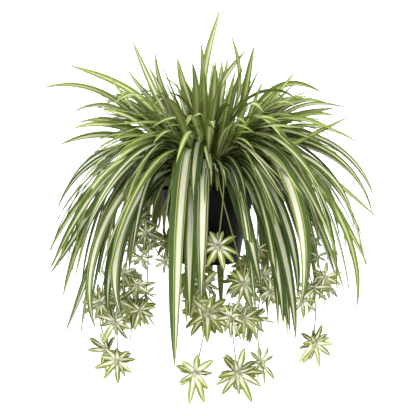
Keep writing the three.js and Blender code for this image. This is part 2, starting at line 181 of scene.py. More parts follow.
# The leaves of a plantlet about its outer whorl: small ones inside, wisps that trail, and a whorl behind.
# A plantlet below LOW_PLANTLET has wisps of LOW_WISP of their length.
INNER_LEAVES = 5
INNER_RAISE = 0.8
INNER_WIDTH = 0.15
WISPS = 2
WISP_SAG = 0.5
LOW_WISP = 0.55
LOW_PLANTLET = -185
BEHIND_FEWER = 3
BEHIND_LEAST = 4
BEHIND_LOWER = 1.6
BEHIND_WIDTH = 0.5
ALL_KINDS = (0.1, 1.0)
BRIGHT = (0.7, 1)
SHADED = (0, 0.4)


# Directions and random draws, by the same rules as the solids

def draws(seed):
    """Draws numbers between two limits, one after another: the same seed always gives the same plant."""
    multiplier, modulus = 16807, 2147483647
    state = [seed]

    def draw(low, high):
        state[0] = (state[0] * multiplier) % modulus
        return low + ((high - low) * state[0]) / modulus

    return draw


def polar(radius, bearing, height):
    turn = math.radians(bearing)
    return np.array([radius * math.cos(turn), radius * math.sin(turn), height])


def slant(out, up, degrees):
    """A direction in the plane of out and up, at that many degrees above out."""
    turn = math.radians(degrees)
    return out * math.cos(turn) + up * math.sin(turn)


def unit(v):
    return v / np.linalg.norm(v)


def plan_direction(start, end):
    """The level direction from start to end."""
    out = end - start
    out[2] = 0
    return unit(out)


def turned(v, axis, angle):
    """v turned about a unit axis."""
    level = v * math.cos(angle) + np.cross(axis, v) * math.sin(angle)
    return level + axis * np.dot(axis, v) * (1 - math.cos(angle))


def curve_point(points, u):
    """A point of the curve that leaves p0 towards p1 and reaches p3 from p2."""
    p0, p1, p2, p3 = points
    w = 1 - u
    return w**3 * p0 + 3 * w * w * u * p1 + 3 * w * u * u * p2 + u**3 * p3


def curve_direction(points, u):
    p0, p1, p2, p3 = points
    w = 1 - u
    return unit(3 * w * w * (p1 - p0) + 6 * w * u * (p2 - p1) + 3 * u * u * (p3 - p2) + NEVER_ZERO)


def arc(start, middle, end, count):
    """Points along the curve from start to end that bends towards middle."""
    shares = np.linspace(0, 1, count)
    return [(1 - s) ** 2 * start + 2 * s * (1 - s) * middle + s * s * end for s in shares]


# Meshes

def linked(name, data):
    """A new object in the scene."""
    made = bpy.data.objects.new(name, data)
    bpy.context.scene.collection.objects.link(made)
    return made


class Build:
    """Collects closed skins with float attributes, and turns them into one mesh object."""

    def __init__(self, attributes):
        self.points = []
        self.faces = []
        self.slots = []
        self.sharp = []
        self.values = {name: [] for name in attributes}
        self.count = 0

    def add(self, points, faces, slot=0, sharp=(), **values):
        points = np.asarray(points, float)
        self.points.append(points)
        self.faces.extend([tuple(i + self.count for i in face) for face in faces])
        self.slots.extend([slot] * len(faces))
        self.sharp.extend([(a + self.count, b + self.count) for a, b in sharp])
        for name, kept in self.values.items():
            kept.append(np.broadcast_to(values.get(name, 0.0), len(points)))
        self.count += len(points)

    def finish(self, name, materials, slot, *nodes):
        mesh = bpy.data.meshes.new(name)
        mesh.from_pydata(np.concatenate(self.points) * MM, [], self.faces)
        for key, kept in self.values.items():
            layer = mesh.attributes.new(key, "FLOAT", "POINT")
            layer.data.foreach_set("value", np.concatenate(kept).astype(np.float32))
        for material in materials:
            mesh.materials.append(material)
        mesh.polygons.foreach_set("material_index", self.slots)
        mesh.polygons.foreach_set("use_smooth", [True] * len(self.faces))
        if self.sharp:
            wanted = {(min(a, b), max(a, b)) for a, b in self.sharp}
            ends = np.empty(len(mesh.edges) * 2, np.int32)
            mesh.edges.foreach_get("vertices", ends)
            ends = np.sort(ends.reshape(-1, 2), axis=1)
            flags = [(int(a), int(b)) in wanted for a, b in ends]
            mesh.attributes.new("sharp_edge", "BOOLEAN", "EDGE").data.foreach_set("value", flags)
        mesh.update()
        piece = linked(name, mesh)
        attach(piece, "root")
        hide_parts(*nodes)
        return piece


def strip_faces(stations, ring):
    """Faces of a closed skin through rings of equally many points, ending in one tip point."""
    faces = [tuple(reversed(range(ring)))]
    for i in range(stations - 2):
        for k in range(ring):
            n = (k + 1) % ring
            faces.append((i * ring + k, i * ring + n, (i + 1) * ring + n, (i + 1) * ring + k))
    last = (stations - 2) * ring
    for k in range(ring):
        faces.append((last + k, last + (k + 1) % ring, last + ring))
    return faces


def blade_skin(rows, columns):
    """A thin closed blade.

    Each row holds its centre, side, down, half width, depth of the fold, thickness and the edge's wave.
    """
    spread = np.linspace(-1, 1, columns)
    section = [(v, 0.0) for v in spread] + [(v, 1.0) for v in spread[1:-1][::-1]]
    ring = len(section)
    points, across, under = [], [], []
    for centre, side, down, half, fold, thick, wave in rows[:-1]:
        for v, below in section:
            depth = fold * (1 - abs(v) ** FOLD_POWER) + wave * v * abs(v) + below * thick * (1 - v**4)
            points.append(centre + side * half * v + down * depth)
            across.append(v)
            under.append(below)
    points.append(rows[-1][0])
    across.append(0.0)
    under.append(0.0)
    margins = [i * ring + k for i in range(len(rows) - 2) for k in (0, columns - 1)]
    sharp = [(k, k + ring) for k in margins]
    return points, strip_faces(len(rows), ring), sharp, across, under, ring


# Leaves

def width_share(u, root_share, widest_at):
    """Share of the full width at a share u of the length, drawn out to a pointed tip."""
    swell = min(1, u / widest_at)
    return (root_share + (1 - root_share) * swell * (2 - swell)) * (1 - u**5)


def leaf_look(width, fall, draw):
    """A leaf's stripe share and its shift, its kind from dark to yellow-green, and its tone."""
    shift = draw(-STRIPE_SHIFT, STRIPE_SHIFT)
    if fall > STEEP_FALL:
        return draw(0.16, 0.32), shift * 0.3, draw(0.3, 0.92), draw(0, 1)
    if fall > LEVEL_FALL:
        return draw(0.12, 0.28), shift * 0.6, draw(0.35, 0.95), draw(0, 1)
    if width >= BROAD_LEAF:
        return draw(0.22, 0.36), shift, draw(0.0, 0.15), draw(0, 1)
    return draw(0.1, 0.3), shift, draw(0.0, 0.55), draw(0, 1)


def add_blade(build, rows, columns, along_u, flip=False, **look):
    """A blade's skin with what its stripes need: each row's place along it, and the leaf's own look."""
    points, faces, sharp, v, under, ring = blade_skin(rows, columns)
    if flip:
        faces = [tuple(reversed(face)) for face in faces]
    u_all = np.repeat(along_u[:-1], ring).tolist() + [1.0]
    halves = np.repeat([row[3] for row in rows[:-1]], ring).tolist() + [0.0]
    build.add(points, faces, 0, sharp, leaf_u=u_all, leaf_v=v, leaf_under=under, leaf_half=halves, **look)


def add_leaf(build, foot, head, bearing, roll, leaf, look, sway=0.0, grid=LEAF_GRID):
    """A leaf from its sheath in the soil to its tip. Sway turns the way it sets out from the way it ends."""
    side_turn, reach, tip_height, rise, fall, width, turn, spring = leaf
    tip = polar(reach, bearing + side_turn, tip_height)
    out = plan_direction(head, tip)
    root = head + out * ROOT_OUT + polar(ROOT_ASIDE * side_turn, bearing + 90, 0)
    root[2] += ROOT_RAISE * (rise - LEVEL_RISE)
    out = plan_direction(root, tip)
    handle = HANDLE * np.linalg.norm(tip - root)
    start = slant(turned(out, UP, math.radians(sway)), UP, rise)
    end = slant(turned(out, UP, math.radians(-sway)), UP, fall)
    path = (root, root + start * handle * spring, tip - end * handle, tip)
    low = foot + out * SHEATH_OUT
    low[2] = SOIL_TOP - SHEATH_BURIED
    sheath = (low, low + UP * SHEATH_RISE, root - start * SHEATH_LEAN, root)
    across = np.cross(UP, out)
    phase = look(0, FULL_TURN)
    wave = look(0.2, 0.9)
    stripe, shift, kind, tone = leaf_look(width, fall, look)
    rows, along_u = [], []
    root_half = width * ROOT_WIDTH_SHARE / 2

    def frame_at(along, angle):
        level = unit(across - along * np.dot(across, along))
        side = turned(level, along, math.radians(angle))
        return side, np.cross(side, along)

    for s in np.linspace(0, 1, SHEATH_STATIONS, endpoint=False):
        side, down = frame_at(curve_direction(sheath, s), 0)
        half = (SHEATH_WIDTH / 2) * (1 - s) + root_half * s
        rows.append((curve_point(sheath, s), side, down, half, half * 2 * SHEATH_FOLD, LEAF_THICK, 0.0))
        along_u.append(SHEATH_U * (s - 1))
    for u in np.linspace(0, 1, grid[0]):
        side, down = frame_at(curve_direction(path, u), roll * min(1, u / ROLL_BY) + turn * u)
        half = width * width_share(u, ROOT_WIDTH_SHARE, WIDEST_AT) / 2
        fold = SHEATH_FOLD + (FOLD - SHEATH_FOLD) * min(1, u / FOLD_BY)
        thick = LEAF_THICK * (1 - TIP_THINNING * u)
        ripple = wave * math.sin(RIPPLES * u + phase) * min(1, u / RIPPLE_BY) * (1 - u)
        rows.append((curve_point(path, u), side, down, half, 2 * half * fold, thick, ripple))
        along_u.append(u)
    add_blade(
        build, rows, grid[1], along_u,
        leaf_stripe=stripe, leaf_shift=shift, leaf_kind=kind, leaf_tone=tone,
    )


# Leaves seen in the photograph, by crown. Each row holds: side, degrees from the crown's bearing; reach,
# the tip's distance from the pot's axis; the tip's height; rise and fall, degrees; width; turn, degrees;
# spring, which is how strongly the leaf rises before it bends over.
CROWN_LEAVES = {
    "middle": [
        [30, 24, 300, 104, 70, 20, 10, 1],
        [150, 10, 250, 92, 86, 15, -20, 1],
        [168, 45, 226, 80, 78, 12, -50, 1],
        [150, 52, 226, 76, 80, 16, -40, 1],
        [40, 30, 226, 80, 84, 14, 0, 1],
        [60, 26, 220, 78, 82, 15, 10, 1],
        [-4, 34, 262, 58, 112, 10, 70, 1],
        [100, 46, 232, 80, 76, 13, 0, 1],
        [75, 62, 208, 70, 60, 14, 20, 1],
        [-140, 40, 190, 72, 62, 12, 20, 1],
        [-100, 42, 176, 66, 50, 10, 0, 1],
        [-60, 48, 190, 66, 40, 10, -20, 1],
        [10, 62, 238, 84, 46, 13, 50, 1.3],
    ],
    "front": [
        [-15, 122, -222, 52, -92, 26, 4, 1],
        [-8, 112, -164, 62, -88, 12, -8, 1],
        [-5, 114, -148, 58, -90, 25, 6, 1],
        [-1, 128, 22, 78, -86, 19, -4, 1.4],
        [3, 112, -124, 40, -98, 24, 8, 1],
        [11, 100, 40, 60, -66, 9, 10, 1],
    ],
    "front_right": [
        [-5, 144, -104, 14, -66, 22, 10, 0.5],
        [-6, 134, -142, 30, -80, 14, 4, 0.7],
        [4, 164, -158, 22, -92, 24, 10, 0.6],
        [8, 178, -180, 30, -88, 20, 10, 0.7],
        [7, 170, -172, 38, -84, 18, 4, 0.7],
        [8, 186, -130, 42, -112, 24, 4, 1.5],
        [9, 178, -120, 38, -96, 19, 6, 0.8],
        [16, 226, -114, 62, -102, 13, -14, 1.5],
        [17, 226, -54, 70, -66, 15, -14, 1.8],
        [17, 186, 52, 40, -30, 12, 0, 1],
        [8, 86, 88, 32, 2, 10, 0, 1],
        [-6, 106, 18, 50, -84, 11, 10, 1],
    ],
    "right": [
        [7, 134, 206, 50, 48, 12, 10, 1],
        [14, 134, 188, 46, 42, 11, -10, 1],
        [10, 152, 166, 44, -4, 11, 20, 1],
        [5, 192, 150, 44, 6, 14, 20, 1.05],
        [-10, 218, 140, 18, 26, 10, 30, 1],
        [0, 196, 138, 34, -16, 11, 20, 1],
        [-7, 232, 98, 44, -34, 10, 0, 1],
        [16, 178, 170, 66, -34, 13, 10, 1.5],
        [-15, 146, 148, 56, -46, 10, -10, 1],
        [-3, 250, 18, 50, -74, 13, 0, 1.15],
        [3, 248, -20, 46, -88, 10, -10, 1],
        [12, 262, -20, 26, -42, 11, 10, 1],
        [-12, 226, -26, 44, -90, 11, -10, 1],
        [-9, 248, -84, 42, -64, 15, -10, 1],
        [-16, 234, -146, 40, -104, 14, -10, 1],
        [15, 72, 246, 70, 76, 15, 0, 1],
    ],
    "left": [
        [8, 226, -6, 40, -72, 10, -20, 1],
        [4, 226, 92, 30, -26, 13, -20, 1],
        [-2, 202, 126, 32, -16, 11, -20, 1],
        [10, 204, 118, 34, -20, 13, -20, 1],
        [17, 164, 148, 40, 2, 12, -10, 1],
        [12, 208, 214, 62, 16, 14, -20, 1.1],
        [6, 252, 178, 42, -16, 11, -20, 1],
        [-17, 176, 132, 70, -84, 9, -10, 1.5],
        [0, 114, 254, 66, 68, 14, 0, 1],
        [15, 146, 200, 54, 60, 11, 0, 1],
        [-8, 92, 212, 68, 58, 12, 0, 1],
        [-15, 84, 236, 80, 90, 10, 0, 1],
        [-12, 230, 26, 33, -60, 10, -10, 1],
        [16, 238, -66, 30, -66, 13, -10, 0.9],
    ],
    "front_left": [
        [2, 158, -122, 50, -108, 14, 8, 1.3],
        [4, 150, -78, 48, -92, 12, 6, 1],
        [0, 178, -146, 10, -100, 24, -12, 0.7],
        [6, 166, -150, 18, -118, 22, -16, 0.9],
        [-4, 190, -170, 24, -116, 20, -8, 0.9],
        [-12, 228, -172, 34, -63, 22, -6, 1],
        [-16, 226, -126, 34, -78, 17, -20, 1],
        [-17, 246, -92, 36, -52, 18, -20, 1],
        [-11, 250, -78, 40, -66, 15, -20, 1],
        [15, 84, 48, 72, -80, 11, 0, 1.3],
        [16, 130, 100, 64, -46, 11, 10, 1.4],
        [-6, 214, -50, 44, -70, 13, -10, 1],
    ],
}

# The wedges in order, counter-clockwise from the front: name, roll, and how many arches, spreads and
# uprights the rule adds, with its seed.
CROWNS = [
    ["front", 0, 0, 3, 2, 205],
    ["front_right", 18, 0, 5, 3, 1757],
    ["right", 42, 2, 5, 2, 116],
    ["back_right", -18, 6, 5, 4, 2048],
    ["back", 0, 6, 5, 4, 1951],
    ["back_left", 18, 6, 5, 4, 1953],
    ["left", -42, 2, 5, 2, 1369],
    ["front_left", -18, 1, 5, 3, 1951],
]

# What follows the side in the rows that the rule draws, each a range or a value: long arches that hang,
# spreading leaves and short upright ones.
ARCH = [(125, 235), (-190, -10), (40, 60), (-92, -74), (12, 18), (-25, 25), (0.9, 1.3)]
SPREAD = [(130, 215), (70, 165), (36, 54), (-40, 0), (9, 13), (-15, 15), (1, 1.5)]
UPRIGHT = [(80, 135), (160, 230), (58, 74), (48, 66), (10, 14), (-15, 15), 1]


def ruled_leaves(arches, spreads, uprights, seed):
    """The rule's leaves for one wedge, each kind spread evenly over its width."""
    draw = draws(seed)
    leaves = []
    for count, kind in ((arches, ARCH), (spreads, SPREAD), (uprights, UPRIGHT)):
        for i in range(count):
            side = -WIDEST_SIDE + 2 * WIDEST_SIDE / count * (i + draw(0.2, 0.8))
            leaves.append([side] + [draw(*given) if isinstance(given, tuple) else given for given in kind])
    return leaves


# Narrow leaves that fill each crown: how many, and the lowest and highest tip. HEART is how many lean out of
# the middle, and SKIRT how many of each outer crown droop over the rim.
FILL = {
    "middle": [9, 120, 205],
    "front": [8, 60, 150],
    "front_right": [20, -20, 150],
    "right": [56, -140, 185],
    "back_right": [28, -150, 190],
    "back": [20, -110, 190],
    "back_left": [28, -150, 190],
    "left": [60, -140, 185],
    "front_left": [26, -110, 150],
}
HEART = 34
SKIRT = 9

# Thin leaves seen between the broad ones, with rows as in CROWN_LEAVES.
THIN_LEAVES = {
    "front_right": [
        [6, 168, -178, 34, -86, 12, 0, 0.8],
        [2, 160, -168, 30, -90, 11, 0, 0.8],
        [17, 249, -129, 56, -88, 6, 0, 1.3],
        [14, 240, -63, 52, -66, 11, 0, 1.2],
    ],
    "right": [[-6, 246, 4, 44, -76, 10, 0, 1.15]],
    "left": [[17, 243, -98, 34, -60, 7, -10, 1]],
    "front_left": [
        [-15, 200, -199, 40, -88, 6, 0, 1],
        [-13, 226, -174, 30, -64, 10, 10, 1],
    ],
}


def fill_leaf(low, high, draw):
    """A narrow leaf's row, and its sway. The higher its tip, the steeper it rises and the less it falls."""
    lift = draw(0, 1)
    height = low + (high - low) * lift
    share = min(1, max(0, (height + 110) / 300))
    reach = draw(150 + 36 * (1 - share), 250) * (1 - 0.42 * share * draw(0.4, 1))
    rise = 34 + 30 * share + draw(-8, 8)
    fall = -84 + 110 * share**1.5 + draw(-14, 14)
    width = draw(4.5, 9) + 5 * (1 - share) * draw(0, 1)
    row = [draw(-18, 18), reach, height, rise, fall, width, draw(-40, 40), draw(0.9, 1.35)]
    return row, draw(-24, 24)


def skirt_leaf(draw):
    """A short narrow leaf's row that droops over the rim, and its sway."""
    least = 66
    reach = draw(least, 124)
    height = 44 - 0.9 * (reach - least) + draw(-34, 22)
    side, rise, fall = draw(-22, 22), draw(16, 46), draw(-96, -66)
    row = [side, reach, height, rise, fall, draw(4.5, 8.5), draw(-30, 30), draw(0.7, 1.1)]
    return row, draw(-20, 20)


def heart_leaf(draw):
    """A leaf's row that leans out of the middle, above the crowns, and its sway."""
    least = 70
    reach = draw(least, 150)
    height = 178 - 0.5 * (reach - least) + draw(-44, 22)
    fall = draw(-50, 40)
    row = [0, reach, height, draw(50, 78), fall, draw(6, 12), draw(-60, 60), draw(0.9, 1.3)]
    return row, draw(-20, 20)


# What each point of a leaf carries for its stripes: its place along and across, whether it is on the under
# side, the half width there, and the leaf's own stripe, shift, kind and tone.
LEAF_VALUES = [
    "leaf_u", "leaf_v", "leaf_under", "leaf_half", "leaf_stripe", "leaf_shift", "leaf_kind", "leaf_tone",
]


def add_core(build, foot, head):
    """The short stem inside the sheaths, fluted where they clasp it."""
    bottom, top = SOIL_TOP - CORE_BURIED, HEAD_HEIGHT - CORE_BELOW_HEAD
    points = []
    for i in range(CORE_STATIONS):
        share = i / (CORE_STATIONS - 1)
        centre = foot + (head - foot) * share**2
        centre[2] = bottom + (top - bottom) * share
        radius = CORE_RADIUS + CORE_SWELL * math.sin(math.pi * share)
        for k in range(CORE_SIDES):
            turn = 360 * k / CORE_SIDES
            flute = 1 + FLUTE_DEPTH * math.cos(math.radians(FLUTES * turn + FLUTE_TWIST * share))
            points.append(centre + polar(radius * flute, turn, 0))
    points.append(head - UP * CORE_TIP_DROP)
    build.add(points, strip_faces(CORE_STATIONS + 1, CORE_SIDES), 1)


# Runners: border, which counts the gaps between wedges from the one right of the front; ring, which picks
# the hole; crest, the height the runner arches to; shoulder, the distance from the axis at which it turns
# down; and its plantlets. A plantlet's row holds: x, y and z of its centre; bearing and tilt of the way it
# faces; leaf length; leaf count.
RUNNERS = [
    [0, 0, 74, 92, [[16, -84, -48, 275, -5, 34, 9]]],
    [0, 1, 60, 82, [
        [53, -84, -102, 275, -6, 34, 10],
        [36, -122, -145, 225, -20, 32, 9],
        [44, -98, -231, 272, -12, 41, 11],
    ]],
    [7, 1, 62, 80, [
        [-4, -60, -107, 268, -10, 29, 8],
        [1, -78, -146, 270, -4, 41, 11],
        [-17, -84, -234, 264, -10, 37, 10],
    ]],
    [1, 1, 60, 84, [
        [75, -40, -58, 300, 0, 20, 7],
        [82, -62, -94, 284, 0, 28, 9],
        [74, -70, -154, 280, -60, 28, 7],
        [77, -74, -221, 320, -8, 34, 9],
    ]],
    [1, 0, 74, 120, [
        [155, -62, -111, 280, -40, 32, 10],
        [157, -66, -193, 285, -10, 33, 9],
    ]],
    [2, 0, 74, 130, [
        [164, 30, -24, 300, 10, 18, 7],
        [168, 28, -78, 280, 30, 18, 6],
        [179, 24, -118, 280, 0, 26, 9],
    ]],
    [6, 1, 62, 84, [
        [-97, -34, -12, 230, -6, 34, 10],
        [-106, -30, -50, 240, -20, 24, 8],
    ]],
    [7, 0, 76, 100, [
        [-76, -62, -42, 250, -60, 22, 8],
        [-61, -58, -74, 240, -30, 20, 7],
    ]],
    [6, 0, 78, 120, [
        [-132, -50, -130, 250, -20, 34, 9],
        [-132, -56, -221, 266, -10, 32, 10],
    ]],
    [5, 1, 64, 96, [
        [-92, 0, -130, 250, -50, 22, 7],
        [-107, -10, -151, 268, -6, 34, 11],
    ]],
    [5, 0, 80, 130, [
        [-162, 20, -141, 250, 0, 28, 8],
        [-150, 10, -218, 220, -16, 38, 9],
    ]],
    [2, 1, 62, 90, [[96, 50, -120, 20, -10, 32, 9]]],
    [3, 0, 76, 110, [
        [62, 98, -98, 60, -10, 30, 9],
        [66, 104, -190, 50, -10, 34, 9],
    ]],
    [4, 0, 76, 100, [
        [-16, 104, -112, 100, -10, 34, 9],
        [-4, 96, -178, 95, -10, 32, 10],
    ]],
    [4, 1, 62, 86, [[-60, 80, -60, 130, -10, 30, 8]]],
]


def runner_points(border, ring, crest, shoulder, plantlets):
    """Points along a runner, from the foot of its hole over the rim and through its plantlets."""
    bearing = FIRST_BEARING + (360 / WEDGES) * (border + 0.5)
    radius = RUNNER_RINGS[ring]
    knots = [
        polar(radius, bearing, SOIL_TOP - HOLE_DEPTH + 1),
        polar(radius, bearing, SOIL_TOP),
        polar(radius + RUNNER_OUT, bearing, crest - BEFORE_CREST),
        polar((radius + shoulder) / 2 + CREST_ASIDE, bearing, crest),
        polar(shoulder, bearing, crest - SHOULDER_DROP),
    ] + [np.array(row[:3], float) for row in plantlets]
    ends = [2 * knots[0] - knots[1]] + knots + [2 * knots[-1] - knots[-2]]
    points = []
    for i in range(len(knots) - 1):
        p0, p1, p2, p3 = ends[i : i + 4]
        for s in np.linspace(0, 1, RUNNER_STEPS, endpoint=False):
            m1, m2 = (p2 - p0) / 2, (p3 - p1) / 2
            s2, s3 = s * s, s**3
            points.append(
                (2 * s3 - 3 * s2 + 1) * p1 + (s3 - 2 * s2 + s) * m1 + (3 * s2 - 2 * s3) * p2 + (s3 - s2) * m2
            )
    points.append(knots[-1])
    return points


def add_tube(build, points, radius, sides):
    """A tube along points, its section carried along without twisting."""
    rings = []
    along = unit(points[1] - points[0])
    side = unit(np.cross(along, UP + 0.01))
    for i, centre in enumerate(points[:-1]):
        along = unit(points[i + 1] - points[max(i - 1, 0)])
        side = unit(side - along * np.dot(side, along))
        other = np.cross(along, side)
        for k in range(sides):
            turn = 2 * math.pi * k / sides
            rings.append(centre + radius * (side * math.cos(turn) + other * math.sin(turn)))
    rings.append(points[-1])
    build.add(rings, strip_faces(len(points), sides), 2)


def add_plantlet_leaf(build, centre, out, face, cup, length, half, look, kinds, sag=SAG):
    """A leaf of a plantlet, cupped towards the way the plantlet faces. kinds is the range of its greens."""
    across = np.cross(face, out)
    broad = centre + slant(out, face, cup + PLANTLET_ARCH) * PLANTLET_BROAD * length
    tip = centre + slant(out, face, cup) * length - UP * sag * length
    t = PLANTLET_BROAD
    bend = (broad - (1 - t) ** 2 * centre - t * t * tip) / (2 * t * (1 - t))
    twist = look(-14, 14)
    rows, along_u = [], []
    for u in np.linspace(PLANTLET_START, 1, PLANTLET_GRID[0]):
        w = 1 - u
        place = w * w * centre + 2 * w * u * bend + u * u * tip
        along = unit(2 * w * (bend - centre) + 2 * u * (tip - bend))
        side = unit(across - along * np.dot(across, along))
        side = turned(side, along, math.radians(twist * u))
        down = np.cross(along, side)
        if np.dot(down, face) > 0:
            down = -down
        width = half * width_share(u, PLANTLET_ROOT_SHARE, PLANTLET_WIDEST_AT)
        thick = PLANTLET_THICK * (1 - PLANTLET_THINNING * u)
        rows.append((place, side, down, width, PLANTLET_FOLD * width, thick, 0.0))
        along_u.append(u)
    inside_out = np.dot(np.cross(rows[0][1], rows[0][2]), unit(rows[1][0] - rows[0][0])) < 0
    add_blade(
        build, rows, PLANTLET_GRID[1], along_u, inside_out,
        leaf_stripe=look(0.12, 0.4), leaf_shift=look(-0.12, 0.12),
        leaf_kind=look(*kinds), leaf_tone=look(0, 1),
    )


def add_bud(build, centre, face, level, upright_axis):
    """The lobed bud in the middle of a plantlet."""
    points = []
    for i in range(BUD_RINGS):
        lift = math.pi * i / BUD_RINGS - math.pi / 2 + BUD_TILT
        for k in range(BUD_SIDES):
            turn = 2 * math.pi * k / BUD_SIDES
            rim = BUD_RADIUS * math.cos(lift) * (1 + BUD_LOBE_DEPTH * math.cos(BUD_LOBES * turn))
            away = level * math.cos(turn) + upright_axis * math.sin(turn)
            points.append(centre + rim * away + face * BUD_DEPTH * math.sin(lift))
    points.append(centre + face * BUD_TOP)
    build.add(points, strip_faces(BUD_RINGS + 1, BUD_SIDES), 1)


def add_plantlet(build, row, draw, look):
    """A rosette: an outer whorl of leaves, small ones inside, wisps, a whorl behind and the bud.

    For a runner's own plantlets, draw gives what the solids draw too, and look what only the looks add.
    """
    x, y, z, bearing, tilt, length, count = row
    centre = np.array([x, y, z], float)
    face = slant(polar(1, bearing, 0), UP, tilt)
    level = unit(np.cross(UP, face))
    upright_axis = np.cross(face, level)
    step = 360 / count
    first = draw(0, step)
    for i in range(count):
        out = slant(level, upright_axis, first + step * (i + draw(-0.07, 0.07)) + look(-8, 8))
        cup = draw(-4, 26) + look(-16, 16)
        long = length * draw(0.82, 1.08) * look(0.9, 1.12)
        half = PLANTLET_WIDTH_SHARE * long * look(0.37, 0.48)
        sag = look(0.04, 0.2)
        add_plantlet_leaf(build, centre, out, face, cup, long, half, look, ALL_KINDS, sag)
    inner_at = centre + face * INNER_RAISE
    for i in range(INNER_LEAVES):
        out = slant(level, upright_axis, first + 360 / INNER_LEAVES * i + look(-12, 12))
        long = length * look(0.22, 0.34)
        add_plantlet_leaf(build, inner_at, out, face, look(34, 56), long, INNER_WIDTH * long, look, BRIGHT)
    trail = LOW_WISP if z < LOW_PLANTLET else 1
    for _ in range(WISPS):
        out = slant(level, upright_axis, look(0, 360))
        long = length * look(1.0, 1.7) * trail
        cup, half = look(-30, 10), look(0.5, 1.0)
        add_plantlet_leaf(build, centre, out, face, cup, long, half, look, SHADED, WISP_SAG * trail)
    behind_at = centre - face * BEHIND_LOWER
    behind = max(BEHIND_LEAST, count - BEHIND_FEWER)
    for i in range(behind):
        out = slant(level, upright_axis, first + 360 * (i + 0.5) / behind + look(-16, 16))
        long = length * look(0.6, 0.92)
        half = BEHIND_WIDTH * PLANTLET_WIDTH_SHARE * long
        add_plantlet_leaf(build, behind_at, out, face, look(-30, -8), long, half, look, SHADED)
    add_bud(build, centre, face, level, upright_axis)


# Plantlets on side stems: the runner, counted from 1; its plantlet that they hang from, counted from 0;
# and their row.
SIDE_PLANTLETS = [
    [9, 0, [-122, -64, -90, 262, -10, 28, 8]],
    [9, 0, [-102, -68, -106, 275, -30, 24, 7]],
    [9, 0, [-134, -70, -160, 250, -20, 30, 9]],
    [9, 0, [-156, -54, -136, 240, 0, 28, 9]],
    [10, 1, [-100, -30, -150, 280, -30, 28, 8]],
    [10, 0, [-112, -14, -112, 250, -10, 26, 8]],
    [8, 0, [-88, -66, -30, 240, -20, 26, 8]],
    [8, 1, [-96, -66, -66, 262, -40, 24, 7]],
    [4, 1, [92, -66, -116, 290, -10, 28, 9]],
    [4, 2, [54, -78, -142, 262, -10, 26, 8]],
    [5, 0, [172, -60, -96, 300, -10, 26, 8]],
    [5, 0, [140, -66, -128, 270, -30, 26, 8]],
    [2, 1, [52, -116, -148, 280, -20, 28, 8]],
    [3, 1, [-14, -84, -128, 255, -20, 28, 8]],
    [6, 1, [158, 16, -50, 280, -10, 20, 7]],
    [13, 0, [44, 108, -126, 80, -20, 26, 8]],
    [14, 0, [-34, 108, -134, 100, -10, 28, 8]],
    [11, 0, [-150, 34, -112, 200, 0, 26, 8]],
]


def add_side_stem(build, start, end):
    middle = (start + end) / 2 + UP * SIDE_STEM_RISE
    add_tube(build, arc(start, middle, end, SIDE_STEM_STATIONS), SIDE_STEM_RADIUS, SIDE_STEM_SIDES)


# Materials

def linear(code):
    """A colour given as sRGB hex, for a shader."""
    parts = [int(code[i : i + 2], 16) / 255 for i in (0, 2, 4)]
    return tuple(c / 12.92 if c <= 0.04045 else ((c + 0.055) / 1.055) ** 2.4 for c in parts) + (1.0,)


class Nodes:
    """Short calls for a material's nodes."""

    def __init__(self, name):
        self.material = bpy.data.materials.new(name)
        self.material.use_nodes = True
        self.tree = self.material.node_tree
        self.shader = self.tree.nodes["Principled BSDF"]

    def put(self, socket, value):
        if isinstance(value, bpy.types.NodeSocket):
            self.tree.links.new(value, socket)
        else:
            socket.default_value = value

    def node(self, kind, inputs, **settings):
        """A new node with its settings, and its inputs set or linked."""
        made = self.tree.nodes.new(kind)
        for key, value in settings.items():
            setattr(made, key, value)
        for key, value in inputs.items():
            self.put(made.inputs[key], value)
        return made

    def value(self, name):
        return self.node("ShaderNodeAttribute", {}, attribute_name=name).outputs["Fac"]

    def place(self):
        return self.node("ShaderNodeTexCoord", {}).outputs["Object"]

    def math(self, operation, *terms):
        return self.node("ShaderNodeMath", dict(enumerate(terms)), operation=operation).outputs[0]

    def plus(self, a, b):
        return self.math("ADD", a, b)

    def minus(self, a, b):
        return self.math("SUBTRACT", a, b)

    def times(self, a, b):
        return self.math("MULTIPLY", a, b)

    def scaled(self, a, by, plus):
        return self.math("MULTIPLY_ADD", a, by, plus)

    def apart(self, a, b):
        return self.math("ABSOLUTE", self.minus(a, b))

    def mix(self, share, a, b, blend="MIX"):
        inputs = {"Factor": share, "A": a, "B": b}
        return self.node("ShaderNodeMix", inputs, data_type="RGBA", blend_type=blend).outputs["Result"]

    def step(self, value, low, high):
        """0 below low, 1 above high, smooth between."""
        inputs = {"Value": value, "From Min": low, "From Max": high}
        return self.node("ShaderNodeMapRange", inputs, interpolation_type="SMOOTHSTEP").outputs["Result"]

    def combine(self, x, y, z):
        return self.node("ShaderNodeCombineXYZ", {"X": x, "Y": y, "Z": z}).outputs[0]

    def noise(self, vector, scale, detail=2.0, roughness=0.5):
        inputs = {"Vector": vector, "Scale": scale, "Detail": detail, "Roughness": roughness}
        return self.node("ShaderNodeTexNoise", inputs).outputs["Fac"]

    def bump(self, height, strength, distance):
        made = self.node("ShaderNodeBump", {"Height": height, "Strength": strength, "Distance": distance})
        self.put(self.shader.inputs["Normal"], made.outputs[0])

    def set(self, **values):
        names = {
            "color": "Base Color", "rough": "Roughness", "specular": "Specular IOR Level",
            "emission": "Emission Color", "glow": "Emission Strength",
        }
        for key, given in values.items():
            self.put(self.shader.inputs[names[key]], given)


